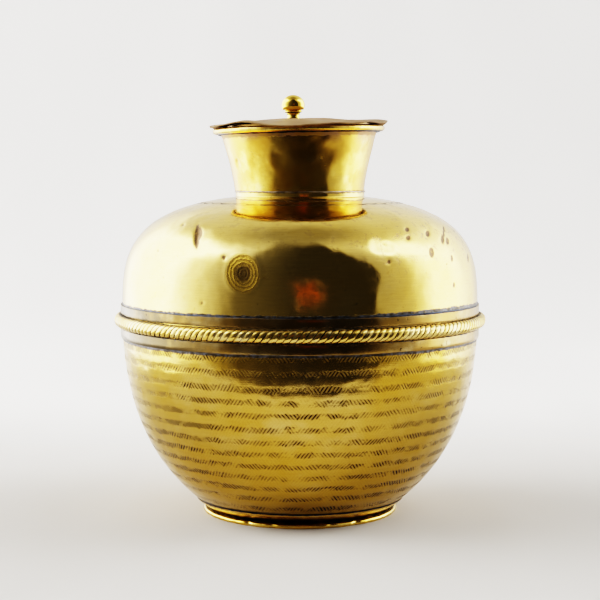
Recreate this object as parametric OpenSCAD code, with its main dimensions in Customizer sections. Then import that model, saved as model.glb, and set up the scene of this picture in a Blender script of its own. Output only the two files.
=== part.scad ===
// Brass water pot with a lift-off lid.
// A hammered lower bowl and a raised shoulder lap at the belly under a rope band.
// A neck plate is dovetailed into the shoulder and carries a flared neck with a wired lip.
// The pot stands on a spun foot ring edged with a round wire.
// Millimetres, +Z up, origin on the ground at the centre of the foot.

/* [Body] */
// Outside diameter at the belly, without the rope band
belly_d = 341; // [280:1:410]
// Height of the belly joint above the ground
belly_z = 186; // [155:1:224]
// Thickness of the raised sheet
sheet = 1.5; // [1:0.1:2]

/* [Lower bowl] */
// How long the bowl stays wide below the belly
bowl_fullness = 2.2; // [1.9:0.05:2.6]
// How soon the bowl turns in towards the foot
bowl_turn = 2.1; // [1.8:0.05:2.5]
// How far the bottom is pushed up in the middle
base_rise = 3; // [1:0.5:6]

/* [Foot] */
// Inside diameter of the foot ring
foot_d = 177; // [140:1:190]
// Height of the foot ring's upper edge
foot_h = 15; // [12:0.5:20]
// Outside diameter of the foot ring's upper edge
foot_flange_d = 204; // [198:1:230]
// Height of the bowl's flat bottom above the ground
base_z = 6; // [4.5:0.5:8]
// Height of the turn between the bowl's bottom and its side
base_turn = 3; // [2:0.5:4]
// Thickness of the foot ring's sheet
foot_sheet = 1.2; // [0.8:0.1:2]
// Diameter of the wire that edges the foot
foot_wire_d = 4.6; // [3.5:0.1:6]
// How far the wire is let into the side of the foot ring
foot_wire_bite = 0.5; // [0.2:0.1:1]
// How far the wire's underside has worn flat
foot_wear = 0.2; // [0.1:0.05:0.4]
// Height of the foot ring's lower edge above the ground
foot_lift = 0.5; // [0.3:0.1:1]

/* [Shoulder] */
// Height at which the shoulder meets the neck
shoulder_z = 303; // [280:1:350]
// How long the shoulder stays upright above the belly
shoulder_fullness = 3.6; // [3:0.1:4.2]
// How soon the shoulder turns in towards the neck
shoulder_turn = 2.65; // [2.2:0.05:3.2]
// Length of the belly lap below the bowl's rim
lap_h = 10; // [6:1:14]
// Height of the bowl's rim above the belly line
rim_rise = 4; // [2:0.5:5]

/* [Neck plate] */
// Diameter of the dovetailed seam at the tips of its teeth
dovetail_d = 193; // [160:1:220]
// Depth of a dovetail tooth
tooth_depth = 2.5; // [1:0.1:5]
// Number of dovetail teeth
tooth_count = 39; // [24:1:48]
// Width of the brazing in the dovetailed seam
braze_w = 0.6; // [0.3:0.1:1]
// Radius where the neck plate turns up to the neck
collar_fillet = 3; // [2:0.5:4]

/* [Neck] */
// Outside diameter at the foot of the neck
neck_d = 124; // [100:1:136]
// Height of the neck plate's collar above the shoulder
collar_h = 5; // [4:0.5:8]
// Inside diameter of the mouth below the lip
mouth_d = 148; // [142:1:178]
// Height of the middle of the lip
lip_z = 366.5; // [345:0.5:440]
// How the neck's flare grows towards the mouth
neck_flare = 1.35; // [1.1:0.05:1.8]
// Slope of the mouth, which was trued by eye
mouth_tilt = 1.25; // [0:0.25:2]

/* [Lip] */
// Diameter of the rolled lip
lip_d = 5.8; // [4.5:0.1:7]
// Thickness of the sheet rolled round the lip wire
lip_sheet = 0.9; // [0.6:0.1:1.2]
// How far the middle of the lip stands out from the neck
lip_out = 4; // [3:0.5:6]

/* [Band] */
// Diameter of the rope ring
rope_d = 12; // [9:0.5:14]
// How far the rope's middle stands out from the belly
rope_out = 2; // [1:0.5:3]
// Height of the strip above the rope
upper_strip_h = 9; // [6:0.5:12]
// Height of the strip below the rope
lower_strip_h = 10; // [6:0.5:14]
// How far both strips stand proud of the belly
strip_out = 1.5; // [1:0.1:2.5]
// Gap between the rope and each strip
band_gap = 0.5; // [0.2:0.1:1.5]
// Leg of the solder fillets
solder_leg = 1.2; // [0.8:0.1:1.4]

/* [Lid] */
// How far the lid reaches past the middle of the lip
lid_over = 6; // [4:0.5:9]
// Rise of the lid from the lip to its middle
lid_rise = 7; // [3:0.5:14]
// Thickness of the lid's sheet
lid_sheet = 1.2; // [0.8:0.1:1.5]
// Gap left between the lid and the lip
lid_gap = 0.3; // [0.3:0.1:0.6]
// Radius of the flat seat under the knob
seat_r = 14; // [13:1:20]
// Clearance between the locating collar and the neck at the collar's lower edge
collar_clear = 2.5; // [1.5:0.5:6]
// Depth of the locating collar below the middle of the lip
collar_drop = 10; // [6:1:16]

/* [Knob] */
// Diameter of the knob's ball
ball_d = 22.4; // [18:0.2:27]
// Height of the knob's ball if it were whole
ball_h = 20; // [16:0.2:24]
// Height of the knob above the lid
knob_h = 22.4; // [20:0.2:27]
// Diameter of the collar under the ball
knob_collar_d = 16.6; // [13:0.2:17]
// Diameter of the stem
stem_d = 11.4; // [9:0.2:12.4]
// How far off the lid's middle the knob sits
knob_shift = -4.5; // [-5:0.5:0]
// Diameter of the tenon that passes through the lid
tenon_d = 6; // [4:0.2:7]
// Clearance round the tenon
tenon_clear = 0.1; // [0.05:0.05:0.3]
// Outside diameter of the washer under the lid
washer_d = 16; // [12:0.5:17]
// Thickness of the washer
washer_h = 1.2; // [0.8:0.1:2]
// Diameter of the tenon's peened head
peen_d = 9; // [8:0.2:11]
// Height of the peened head
peen_h = 2; // [1:0.2:3]

/* [Hidden] */

ring_fn = 144;
bead_fn = 48;
steps = 30;
over = 1;

belly_r = belly_d / 2;
rim_z = belly_z + rim_rise;
lap_z = rim_z - lap_h;
foot_r = foot_d / 2;
flange_r = foot_flange_d / 2 - foot_sheet;
neck_r = neck_d / 2;
neck_z = shoulder_z + collar_h;
mouth_r = mouth_d / 2 + sheet;
lip_r = lip_d / 2;
lip_ring_r = mouth_r + lip_out;
rope_r = rope_d / 2;
upper_strip_z = belly_z + rope_r + band_gap;
lower_strip_z = belly_z - rope_r - band_gap - lower_strip_h;
foot_wire_r = foot_wire_d / 2;
foot_wire_ring_r = foot_r + foot_sheet + foot_wire_r - foot_wire_bite;
foot_wire_z = foot_wire_r - foot_wear;
lid_under_z = lip_z + lip_r + lid_gap + lid_rise;
lid_top_z = lid_z(seat_r) + lid_sheet;
lid_r = lip_ring_r + lid_over;
collar_z = lip_z - collar_drop;
collar_r = neck_at(collar_z) - sheet - collar_clear;
collar_in_r = collar_r - lid_sheet;

// The bowl's curve runs through the belly and through the foot ring's upper edge.
bowl_drop = (belly_z - foot_h)
          / pow(1 - pow(flange_r / belly_r, bowl_turn), 1 / bowl_fullness);
function bowl_r(z) = belly_r
    * pow(1 - pow((belly_z - z) / bowl_drop, bowl_fullness), 1 / bowl_turn);
function bowl_height(r) = belly_z - bowl_drop
    * pow(1 - pow(r / belly_r, bowl_turn), 1 / bowl_fullness);
// The side starts above the bottom's turn and outside the foot ring's wall.
seat_z = max(base_z + base_turn, bowl_height(foot_r + base_turn));

// The shoulder's curve runs through the belly and through the foot of the neck.
shoulder_h = (shoulder_z - belly_z)
           / pow(1 - pow(neck_r / belly_r, shoulder_turn), 1 / shoulder_fullness);
function shoulder_r(z) = belly_r
    * pow(1 - pow((z - belly_z) / shoulder_h, shoulder_fullness), 1 / shoulder_turn);
function shoulder_height(r) = belly_z + shoulder_h
    * pow(1 - pow(r / belly_r, shoulder_turn), 1 / shoulder_fullness);

function neck_at(z) = neck_r + (mouth_r - neck_r)
    * pow(max(0, z - neck_z) / (lip_z - neck_z), neck_flare);

// Underside of the lid: flat in the middle, then a shallow dome.
function lid_z(r) = lid_under_z - lid_rise * pow(max(r, seat_r) / lip_ring_r, 2);

// A path moved sideways by t, towards the axis when the path climbs.
function unit(v) = v / norm(v);
function tangent(p, i) = unit(p[min(i + 1, len(p) - 1)] - p[max(i - 1, 0)]);
function moved(p, t) = [for (i = [0:len(p) - 1])
    let (d = tangent(p, i)) p[i] + t * [-d[1], d[0]]];
function backwards(p) = [for (i = [len(p) - 1:-1:0]) p[i]];

bowl_side = [for (i = [0:steps])
    let (z = seat_z + (belly_z - seat_z) * i / steps) [bowl_r(z), z]];
bowl_base = [for (i = [0:4]) [foot_r * i / 4, base_z + base_rise * (1 - pow(i / 4, 2))]];
bowl_out = concat(bowl_base, bowl_side, [[belly_r, rim_z]]);
bowl_in = concat([[0, base_z + base_rise + sheet], [foot_r - sheet, base_z + sheet]],
                 moved(bowl_side, sheet), [[belly_r - sheet, rim_z]]);

// Shoulder points crowd together towards the top, where the curve turns quickest.
shoulder_end_z = shoulder_height(neck_r + collar_fillet);
shoulder_side = [for (i = [1:steps])
    let (z = rim_z + over + (shoulder_end_z - rim_z - over) * sin(90 * i / steps))
    [shoulder_r(z), z]];
function collar_turn(r) = [for (a = [255:-15:180])
    [neck_r + collar_fillet, shoulder_end_z + collar_fillet] + r * [cos(a), sin(a)]];
shoulder_path = concat([[shoulder_r(rim_z), rim_z]], shoulder_side,
                       collar_turn(collar_fillet), [[neck_r, neck_z]]);
upper_out = concat([[belly_r - sheet, lap_z], [belly_r - sheet, rim_z]], shoulder_path);
upper_in = concat([[belly_r - 2 * sheet, lap_z], [belly_r - 2 * sheet, rim_z]],
                  moved(shoulder_side, sheet), collar_turn(collar_fillet + sheet),
                  [[neck_r - sheet, neck_z]]);

neck_side = [for (i = [0:16])
    let (z = neck_z + (lip_z - lip_r - neck_z) * i / 16) [neck_at(z), z]];
neck_end = [lip_ring_r - lip_r / 2, lip_z - sheet / 2];
neck_out = concat(neck_side, [neck_end]);
neck_in = concat([for (p = moved(neck_side, sheet)) if (p[1] > neck_z + over) p],
                 [neck_end + [0, 1.5 * sheet]]);

lid_rings = concat([0, seat_r], [for (i = [1:12]) seat_r + (lid_r - seat_r) * i / 12]);
lid_under = [for (r = lid_rings) [r, lid_z(r)]];

// Helpers

module turned(points) {
    rotate_extrude($fn = ring_fn) polygon(points);
}

// Everything inside an outline that climbs from bottom to top, filled to the axis.
module filled(path) {
    polygon(concat([[0, path[0][1]]], path, [[0, path[len(path) - 1][1]]]));
}

// The neck, its lip and the lid lean together about the foot of the neck.
module at_mouth() {
    translate([0, 0, neck_z]) rotate([0, -mouth_tilt, 0]) translate([0, 0, -neck_z]) children();
}

module lip_bead(r) {
    at_mouth() rotate_extrude($fn = ring_fn) translate([lip_ring_r, lip_z])
        circle(r = r, $fn = bead_fn);
}

module at_knob() {
    at_mouth() translate([knob_shift, 0, lid_top_z]) children();
}

// Shoulder and neck plate in one, with the lap fitted inside the bowl's rim.
module upper_shell() {
    rotate_extrude($fn = ring_fn) difference() {
        polygon(concat(upper_out, backwards(upper_in)));
        polygon(concat(bowl_out, backwards(bowl_in)));
    }
}

// Saw-toothed outline of the dovetailed seam, grown by w.
module dovetail(w) {
    r = dovetail_d / 2 + w;
    shift = w / r * 180 / PI;
    step = 360 / tooth_count;
    translate([0, 0, belly_z]) linear_extrude(height = neck_z - belly_z + over)
        polygon([for (i = [0:tooth_count - 1], tip = [true, false])
            let (a = step * (tip ? i : i + 1) - shift, t = tip ? r : r - tooth_depth)
            [t * cos(a), t * sin(a)]]);
}

// Body

module lower_bowl() {
    color("goldenrod") turned(concat(bowl_out, backwards(bowl_in)));
}

// Spun ring that hugs the bowl, pinches in to a waist and stands down to the wire.
module foot_ring() {
    flange = [for (i = [0:4]) let (z = seat_z + (foot_h - seat_z) * i / 4) [bowl_r(z), z]];
    waist_r = foot_r + foot_sheet;
    color("darkgoldenrod") rotate_extrude($fn = ring_fn) difference() {
        polygon(concat([[foot_r, foot_lift], [waist_r, foot_lift], [waist_r, base_z - foot_sheet / 2]],
                       moved(flange, -foot_sheet),
                       [[bowl_r(foot_h) - over, foot_h], [foot_r - over, base_z + over],
                        [foot_r, base_z]]));
        filled(bowl_out);
    }
}

module foot_wire() {
    color("gold") rotate_extrude($fn = ring_fn) difference() {
        translate([foot_wire_ring_r, foot_wire_z]) circle(r = foot_wire_r, $fn = bead_fn);
        translate([0, -over]) square([foot_r + foot_sheet, foot_wire_d + 2 * over]);
        translate([0, -foot_wire_d]) square([foot_wire_ring_r + foot_wire_d, foot_wire_d]);
    }
}

module foot_solder() {
    top = foot_h + solder_leg;
    color("dimgray") rotate_extrude($fn = ring_fn) difference() {
        polygon([[bowl_r(foot_h) - over, foot_h], [bowl_r(foot_h) + foot_sheet / 2, foot_h],
                 [bowl_r(top), top], [bowl_r(top) - over, top]]);
        filled(bowl_out);
    }
}

module shoulder() {
    color("goldenrod") difference() {
        upper_shell();
        dovetail(braze_w);
    }
}

module neck_plate() {
    color("khaki") intersection() {
        upper_shell();
        dovetail(0);
    }
}

module dovetail_braze() {
    color("saddlebrown") intersection() {
        upper_shell();
        difference() {
            dovetail(braze_w);
            dovetail(0);
        }
    }
}

// Solder run inside the pot, in the corner under the shoulder's lapped edge.
module belly_solder() {
    r = belly_r - sheet;
    color("dimgray") rotate_extrude($fn = ring_fn) intersection() {
        polygon([[r - sheet, lap_z], [r + over, lap_z], [r + over, lap_z - sheet],
                 [r, lap_z - sheet]]);
        filled(bowl_in);
    }
}

// Band

module lower_strip() {
    color("gold") rotate_extrude($fn = ring_fn) difference() {
        translate([belly_r - sheet, lower_strip_z]) square([sheet + strip_out, lower_strip_h]);
        filled(bowl_out);
    }
}

module rope_ring() {
    color("gold") rotate_extrude($fn = ring_fn) difference() {
        translate([belly_r + rope_out, belly_z]) circle(r = rope_r, $fn = bead_fn);
        filled(bowl_out);
        filled(shoulder_path);
    }
}

module upper_strip() {
    color("gold") rotate_extrude($fn = ring_fn) difference() {
        translate([belly_r - sheet, upper_strip_z]) square([sheet + strip_out, upper_strip_h]);
        filled(shoulder_path);
    }
}

module band_solder_top() {
    z = upper_strip_z + upper_strip_h;
    color("slategray") rotate_extrude($fn = ring_fn) difference() {
        polygon([[belly_r - sheet, z], [belly_r + solder_leg, z],
                 [shoulder_r(z + solder_leg), z + solder_leg], [belly_r - sheet, z + solder_leg]]);
        filled(shoulder_path);
    }
}

module band_solder_bottom() {
    z = lower_strip_z;
    color("slategray") rotate_extrude($fn = ring_fn) difference() {
        polygon([[belly_r - sheet, z], [belly_r + solder_leg, z],
                 [bowl_r(z - solder_leg), z - solder_leg], [belly_r - sheet, z - solder_leg]]);
        filled(bowl_out);
    }
}

// Neck and lip

module neck() {
    skirt_h = 4;
    skirt = neck_z - skirt_h;
    color("goldenrod") difference() {
        at_mouth() rotate_extrude($fn = ring_fn) difference() {
            polygon(concat([[neck_r, skirt]], neck_out, backwards(neck_in),
                           [[neck_r - sheet, neck_z], [neck_r - sheet, skirt]]));
            translate([lip_ring_r, lip_z]) circle(r = lip_r, $fn = bead_fn);
        }
        translate([-neck_d, -neck_d, skirt - skirt_h]) cube([2 * neck_d, 2 * neck_d, 2 * skirt_h]);
    }
}

// Solder bead round the neck plate's collar, just under the neck's edge.
module neck_solder() {
    color("silver") rotate_extrude($fn = ring_fn) difference() {
        translate([neck_r, neck_z]) circle(r = solder_leg, $fn = bead_fn);
        translate([0, neck_z]) square([neck_r + collar_h, collar_h]);
        filled(shoulder_path);
    }
}

module lip_roll() {
    color("gold") difference() {
        lip_bead(lip_r);
        lip_bead(lip_r - lip_sheet);
    }
}

module lip_wire() {
    color("peru") lip_bead(lip_r - lip_sheet);
}

// Solder in the corner where the neck runs into the underside of the lip.
module lip_solder() {
    lip_mid = [lip_ring_r, lip_z];
    neck_top = neck_side[len(neck_side) - 1];
    color("dimgray") at_mouth() rotate_extrude($fn = ring_fn) difference() {
        translate(lip_mid + lip_r * unit(neck_top - lip_mid))
            circle(r = solder_leg, $fn = bead_fn);
        polygon(concat(neck_out, backwards(neck_in)));
        translate(lip_mid) circle(r = lip_r, $fn = bead_fn);
    }
}

// Lid

// Everything under the lid, down past the collar.
module under_lid() {
    polygon(concat(lid_under, [[lid_r, collar_z - over], [0, collar_z - over]]));
}

module lid_disc() {
    color("peru") difference() {
        at_mouth() turned(concat(lid_under, [for (p = backwards(lid_under)) p + [0, lid_sheet]]));
        at_knob() translate([0, 0, -2 * lid_sheet])
            cylinder(r = tenon_d / 2 + tenon_clear, h = 4 * lid_sheet, $fn = bead_fn);
    }
}

module lid_collar() {
    color("darkgoldenrod") at_mouth() rotate_extrude($fn = ring_fn) intersection() {
        translate([collar_in_r, collar_z]) square([lid_sheet, lid_under_z - collar_z]);
        under_lid();
    }
}

module lid_collar_solder() {
    z = lid_z(collar_in_r);
    color("dimgray") at_mouth() rotate_extrude($fn = ring_fn) intersection() {
        polygon([[collar_in_r, z - solder_leg], [collar_in_r, z + over],
                 [collar_in_r - solder_leg - over, z + over]]);
        under_lid();
    }
}

// Turned knob: a tenon peened over the washer, a stem, a collar and a ball.
module knob() {
    ball_r = ball_d / 2;
    mid = knob_h - ball_h / 2;
    stem_r = stem_d / 2;
    tenon_r = tenon_d / 2;
    under = -lid_sheet - washer_h;
    collar_bead = 1.4;
    collar_mid = 6.6;
    bead_r = knob_collar_d / 2 - collar_bead;
    // A thin ring turned on the stem under the collar
    ring_z = 3.8;
    ring_h = 1;
    ring_r = stem_r + 0.9;
    color("gold") at_knob() rotate_extrude($fn = 96) polygon(concat(
        [[0, under - peen_h], [peen_d / 4, under - peen_h], [peen_d / 2, under - peen_h / 2],
         [peen_d / 2, under], [tenon_r, under], [tenon_r, 0], [stem_r, 0], [stem_r, ring_z],
         [ring_r, ring_z], [ring_r, ring_z + ring_h], [stem_r, ring_z + ring_h]],
        [for (a = [-60:20:60]) [bead_r, collar_mid] + collar_bead * [cos(a), sin(a)]],
        [for (a = [-25:11.5:90]) [ball_r * cos(a), mid + ball_h / 2 * sin(a)]]));
}

module knob_washer() {
    color("darkgoldenrod") at_knob() translate([0, 0, -lid_sheet - washer_h]) difference() {
        cylinder(d = washer_d, h = washer_h, $fn = 72);
        translate([0, 0, -over])
            cylinder(r = tenon_d / 2 + tenon_clear, h = washer_h + 2 * over, $fn = bead_fn);
    }
}

lower_bowl();
foot_ring();
foot_wire();
foot_solder();
shoulder();
neck_plate();
dovetail_braze();
belly_solder();
lower_strip();
rope_ring();
upper_strip();
band_solder_top();
band_solder_bottom();
neck();
neck_solder();
lip_roll();
lip_wire();
lip_solder();
lid_disc();
lid_collar();
lid_collar_solder();
knob();
knob_washer();
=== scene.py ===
# Brass water pot with a lift-off lid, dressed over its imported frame.
import math

import bpy
import numpy as np
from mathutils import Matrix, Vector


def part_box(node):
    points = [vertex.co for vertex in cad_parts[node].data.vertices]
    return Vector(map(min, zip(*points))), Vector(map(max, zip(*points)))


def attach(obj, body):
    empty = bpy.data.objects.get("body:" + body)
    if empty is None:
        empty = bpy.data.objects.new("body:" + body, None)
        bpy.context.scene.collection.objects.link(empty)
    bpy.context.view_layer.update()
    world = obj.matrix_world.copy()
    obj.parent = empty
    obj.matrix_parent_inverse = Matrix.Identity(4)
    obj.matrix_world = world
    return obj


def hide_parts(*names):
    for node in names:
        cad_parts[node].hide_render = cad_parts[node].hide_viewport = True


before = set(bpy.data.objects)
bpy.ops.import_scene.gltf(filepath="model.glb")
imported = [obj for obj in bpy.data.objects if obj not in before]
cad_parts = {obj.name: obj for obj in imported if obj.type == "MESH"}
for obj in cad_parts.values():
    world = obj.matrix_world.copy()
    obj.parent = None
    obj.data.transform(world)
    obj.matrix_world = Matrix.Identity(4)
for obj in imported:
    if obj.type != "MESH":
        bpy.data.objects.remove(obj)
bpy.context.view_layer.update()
scene = bpy.context.scene
print("frame loaded")

# Camera, at standing height in front of the pot
cameraPlan = {"place": (0, -1.492, 0.329), "lookDown": 4.82, "lens": 93.0, "sensor": 36.0}
cameraData = bpy.data.cameras.new("studioCamera")
cameraData.lens = cameraPlan["lens"]
cameraData.sensor_width = cameraPlan["sensor"]
cameraData.clip_start = 0.05
cameraData.clip_end = 30
studioCamera = bpy.data.objects.new("studioCamera", cameraData)
studioCamera.location = cameraPlan["place"]
studioCamera.rotation_euler = (math.radians(90 - cameraPlan["lookDown"]), 0, 0)
scene.collection.objects.link(studioCamera)
scene.camera = studioCamera
scene.view_settings.view_transform = "Filmic"
scene.view_settings.look = "Very High Contrast"


# Node helpers

def addNode(tree, kind, inputs=None, **settings):
    made = tree.nodes.new("ShaderNode" + kind)
    for name, value in settings.items():
        setattr(made, name, value)
    for name, value in (inputs or {}).items():
        if isinstance(value, bpy.types.NodeSocket):
            tree.links.new(value, made.inputs[name])
        else:
            made.inputs[name].default_value = value
    return made


def treeOf(*values):
    return next(value.id_data for value in values if isinstance(value, bpy.types.NodeSocket))


def calc(operation, first, second=0.0, third=0.0):
    tree = treeOf(first, second, third)
    return addNode(tree, "Math", {0: first, 1: second, 2: third}, operation=operation).outputs[0]


def times(first, second):
    return calc("MULTIPLY", first, second)


def timesPlus(first, second, third):
    return calc("MULTIPLY_ADD", first, second, third)


def axesOf(place):
    return addNode(treeOf(place), "SeparateXYZ", {0: place}).outputs


def levels(value, low, high, start=0.0, end=1.0, smooth=False):
    kind = "SMOOTHSTEP" if smooth else "LINEAR"
    return addNode(treeOf(value), "MapRange", {0: value, 1: low, 2: high, 3: start, 4: end},
        interpolation_type=kind).outputs[0]


def noise(place, scale, detail=3.0, rough=0.55, warp=0.0):
    return addNode(treeOf(place), "TexNoise", {"Vector": place, "Scale": scale, "Detail": detail,
        "Roughness": rough, "Distortion": warp}).outputs["Fac"]


def mixColour(factor, first, second, how="MIX"):
    tree = treeOf(factor, first, second)
    made = addNode(tree, "Mix", data_type="RGBA", blend_type=how)
    for socket, value in ((0, factor), (6, first), (7, second)):
        if isinstance(value, bpy.types.NodeSocket):
            tree.links.new(value, made.inputs[socket])
        elif socket:
            made.inputs[socket].default_value = (*value, 1)
        else:
            made.inputs[socket].default_value = value
    return made.outputs[2]


def patches(place, grain, *span):
    return levels(noise(place, *grain), *span)


def tinge(colour, amount, share, tone):
    # Lays a tone over the colour where the amount is high
    return mixColour(times(amount, share), colour, tone)


def stretched(place, scale):
    return addNode(treeOf(place), "Mapping", {"Vector": place, "Scale": scale}).outputs[0]


def vertexValue(tree, name):
    return addNode(tree, "Attribute", attribute_name=name).outputs["Fac"]


# Surroundings: bright soft sides, a dim ceiling and a dark room in front of the pot

surroundings = {
    "glow": 6.5, "tint": (1.0, 0.975, 0.93), "pale": (0.93, 0.915, 0.895), "paleGlow": 1.9,
    "sides": [  # azimuth from the camera's side, brightness
        (-180, 0.9), (-168, 1.1), (-154, 2.4), (-140, 5.6), (-94, 6.0), (-76, 2.1), (-62, 1.0),
        (-52, 0.55), (-46, 0.30), (-40, 0.15), (-24, 0.10), (0, 0.05), (49.5, 0.045), (51.5, 0.42),
        (62, 0.52), (74, 0.80), (84, 1.7), (96, 5.0), (120, 5.0), (138, 2.4), (158, 1.2), (180, 0.9)],
    "spread": (30, 62, 1.5), "fade": (47, 61), "frontRise": 15, "ceiling": 0.27, "cornice": 0.50,
    "frontFloor": 0.45, "floorEdge": (-75, -62),
    "warm": {"az": (-3, 16), "el": (1, 18), "tint": (0.85, 0.24, 0.03), "glow": 0.38}}


def lightSurroundings(plan):
    world = bpy.data.worlds.new("studioWorld")
    scene.world = world
    world.use_nodes = True
    tree = world.node_tree
    tree.nodes.clear()
    direction = addNode(tree, "TexCoord").outputs["Generated"]
    axes = axesOf(direction)
    azimuth = calc("DEGREES", calc("ARCTAN2", axes[0], times(axes[1], -1.0)))
    elevation = calc("DEGREES", calc("ARCSINE", axes[2]))

    low, high, most = plan["spread"]
    spread = times(azimuth, levels(elevation, low, high, 1.0, most))
    ramp = addNode(tree, "ValToRGB", {0: levels(spread, -180, 180)})
    stops = ramp.color_ramp.elements
    for i, (azimuthStop, glow) in enumerate(plan["sides"]):
        place = (azimuthStop + 180) / 360
        stop = stops[i] if i in (0, 1) else stops.new(place)
        stop.position = place
        stop.color = (*[glow / plan["glow"]] * 3, 1)
    sides = times(ramp.outputs[0], plan["glow"])
    aside = levels(calc("ABSOLUTE", spread), 42, 56)
    rise = calc("SUBTRACT", elevation, levels(aside, 0, 1, plan["frontRise"], 0))
    upward = levels(rise, *plan["fade"], smooth=True)
    cornice = times(aside, levels(elevation, 60, 78, plan["cornice"], 0))
    top = calc("ADD", cornice, plan["ceiling"])
    total = addNode(tree, "Mix", {0: upward, 2: sides, 3: top}).outputs[0]
    total = addNode(tree, "Mix", {0: levels(elevation, *plan["floorEdge"]), 2: plan["frontFloor"],
        3: total}).outputs[0]
    warm = plan["warm"]
    spot = 1.0
    for value, span in ((azimuth, warm["az"]), (elevation, warm["el"])):
        spot = times(spot, levels(value, span[0], span[0] + 4))
        spot = times(spot, levels(value, span[1], span[1] - 4))
    spot = times(spot, levels(noise(direction, 26.0, 2.0), 0.50, 0.54))
    tint = mixColour(spot, plan["tint"], warm["tint"])
    total = timesPlus(spot, warm["glow"], total)
    seen = addNode(tree, "Background", {0: (*plan["pale"], 1), 1: plan["paleGlow"]}).outputs[0]
    room = addNode(tree, "Background", {0: tint, 1: total}).outputs[0]
    eye = addNode(tree, "LightPath").outputs["Is Camera Ray"]
    mixed = addNode(tree, "MixShader", {0: eye, 1: room, 2: seen}).outputs[0]
    addNode(tree, "OutputWorld", {0: mixed})


lightSurroundings(surroundings)


# Cloth floor that sweeps up into a wall behind the pot

# fall darkens the cloth towards the right (painted shade); glowFrom and wallGlow make it glow towards the
# wall (painted light)
stagePlan = {"halfWidth": 3.2, "tableHalf": 0.8, "tableEdge": -0.42, "front": -3.0, "under": -0.0005,
    "bendStart": 1.3, "bendRadius": 0.9, "glowFrom": (0.05, 0.8), "wallTop": 3.4, "bendSteps": 24,
    "lap": 0.002, "cloth": (0.73, 0.715, 0.695), "wallGlow": 1.08, "fall": (1.04, 0.92)}


def clothFinish(plan):
    material = bpy.data.materials.new("paleCloth")
    material.use_nodes = True
    tree = material.node_tree
    shader = tree.nodes["Principled BSDF"]
    place = addNode(tree, "TexCoord").outputs["Object"]
    folds = noise(stretched(place, (2.2, 0.8, 0.7)), 1.6, 3.0)
    axes = axesOf(place)
    # Painted shade: the cloth is painted darker towards the right; the folds vary its tone a little
    shade = times(levels(folds, 0.3, 0.7, 0.95, 1.03), levels(axes[0], -0.6, 0.6, *plan["fall"]))
    tint = mixColour(1.0, plan["cloth"], shade, "MULTIPLY")
    tree.links.new(tint, shader.inputs["Base Color"])
    shader.inputs["Roughness"].default_value = 0.9
    shader.inputs["Specular IOR Level"].default_value = 0.1
    # Painted light: the cloth glows, more and more towards the wall
    tree.links.new(tint, shader.inputs["Emission Color"])
    tree.links.new(levels(axes[1], *plan["glowFrom"], 0.0, plan["wallGlow"], smooth=True),
        shader.inputs["Emission Strength"])
    weave = noise(place, 900.0, 2.0)
    fine = addNode(tree, "Bump", {"Height": weave, "Strength": 0.15, "Distance": 0.0004}).outputs[0]
    wide = addNode(tree, "Bump", {"Height": folds, "Strength": 0.35, "Distance": 0.02,
        "Normal": fine}).outputs[0]
    tree.links.new(wide, shader.inputs["Normal"])
    return material


def deselectAll():
    if bpy.context.object and bpy.context.object.mode != "OBJECT":
        bpy.ops.object.mode_set(mode="OBJECT")
    bpy.ops.object.select_all(action="DESELECT")


def buildStage(plan):
    cloth = clothFinish(plan)
    start, wide = plan["bendStart"], plan["halfWidth"]
    spans = {  # near, far, half width, height
        "stageRoom": (plan["front"], start, wide, plan["under"]),
        "stageTable": (plan["tableEdge"], start, plan["tableHalf"], 0),
        "stageWall": (start, start + plan["lap"], wide, plan["under"])}
    for name, (near, far, halfWidth, height) in spans.items():
        deselectAll()
        bpy.ops.mesh.primitive_plane_add(size=1, location=(0, (near + far) / 2, height))
        piece = bpy.context.object
        piece.name = name
        piece.scale = (2 * halfWidth, far - near, 1)
        bpy.ops.object.transform_apply(location=True, rotation=False, scale=True)
        # Only the table round the pot shows in the brass
        piece.visible_glossy = name == "stageTable"
        if name == "stageWall":
            for part in (piece.data.vertices, piece.data.edges, piece.data.polygons):
                part.foreach_set("select", [False] * len(part))
            for vertex in piece.data.vertices:
                vertex.select = vertex.co.y > far - plan["lap"] / 2
            bpy.ops.object.mode_set(mode="EDIT")
            bpy.ops.mesh.select_mode(type="VERT")
            steps, radius = plan["bendSteps"], plan["bendRadius"]
            for i in range(steps):
                a, b = (math.pi / 2 * k / steps for k in (i, i + 1))
                move = (0, radius * (math.sin(b) - math.sin(a)), radius * (math.cos(a) - math.cos(b)))
                bpy.ops.mesh.extrude_region_move(TRANSFORM_OT_translate={"value": move})
            rest = (0, 0, plan["wallTop"] - radius)
            bpy.ops.mesh.extrude_region_move(TRANSFORM_OT_translate={"value": rest})
            bpy.ops.object.mode_set(mode="OBJECT")
            bpy.ops.object.shade_smooth()
        piece.data.materials.append(cloth)


buildStage(stagePlan)
print("stage ready")


# Sizes that the pieces share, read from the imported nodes

bowlLow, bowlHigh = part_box("lower_bowl")
bellyRadius = bowlHigh[0]
rimHeight = bowlHigh[2]
baseHeight = bowlLow[2]
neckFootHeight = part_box("neck_plate")[1][2]
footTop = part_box("foot_ring")[1][2]
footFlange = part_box("foot_ring")[1][0]
upperStripLow, upperStripHigh = (corner[2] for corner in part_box("upper_strip"))
lowerStripLow, lowerStripHigh = (corner[2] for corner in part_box("lower_strip"))
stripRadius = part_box("upper_strip")[1][0]
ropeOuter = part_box("rope_ring")[1][0]
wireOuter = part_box("foot_wire")[1][0]

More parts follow.
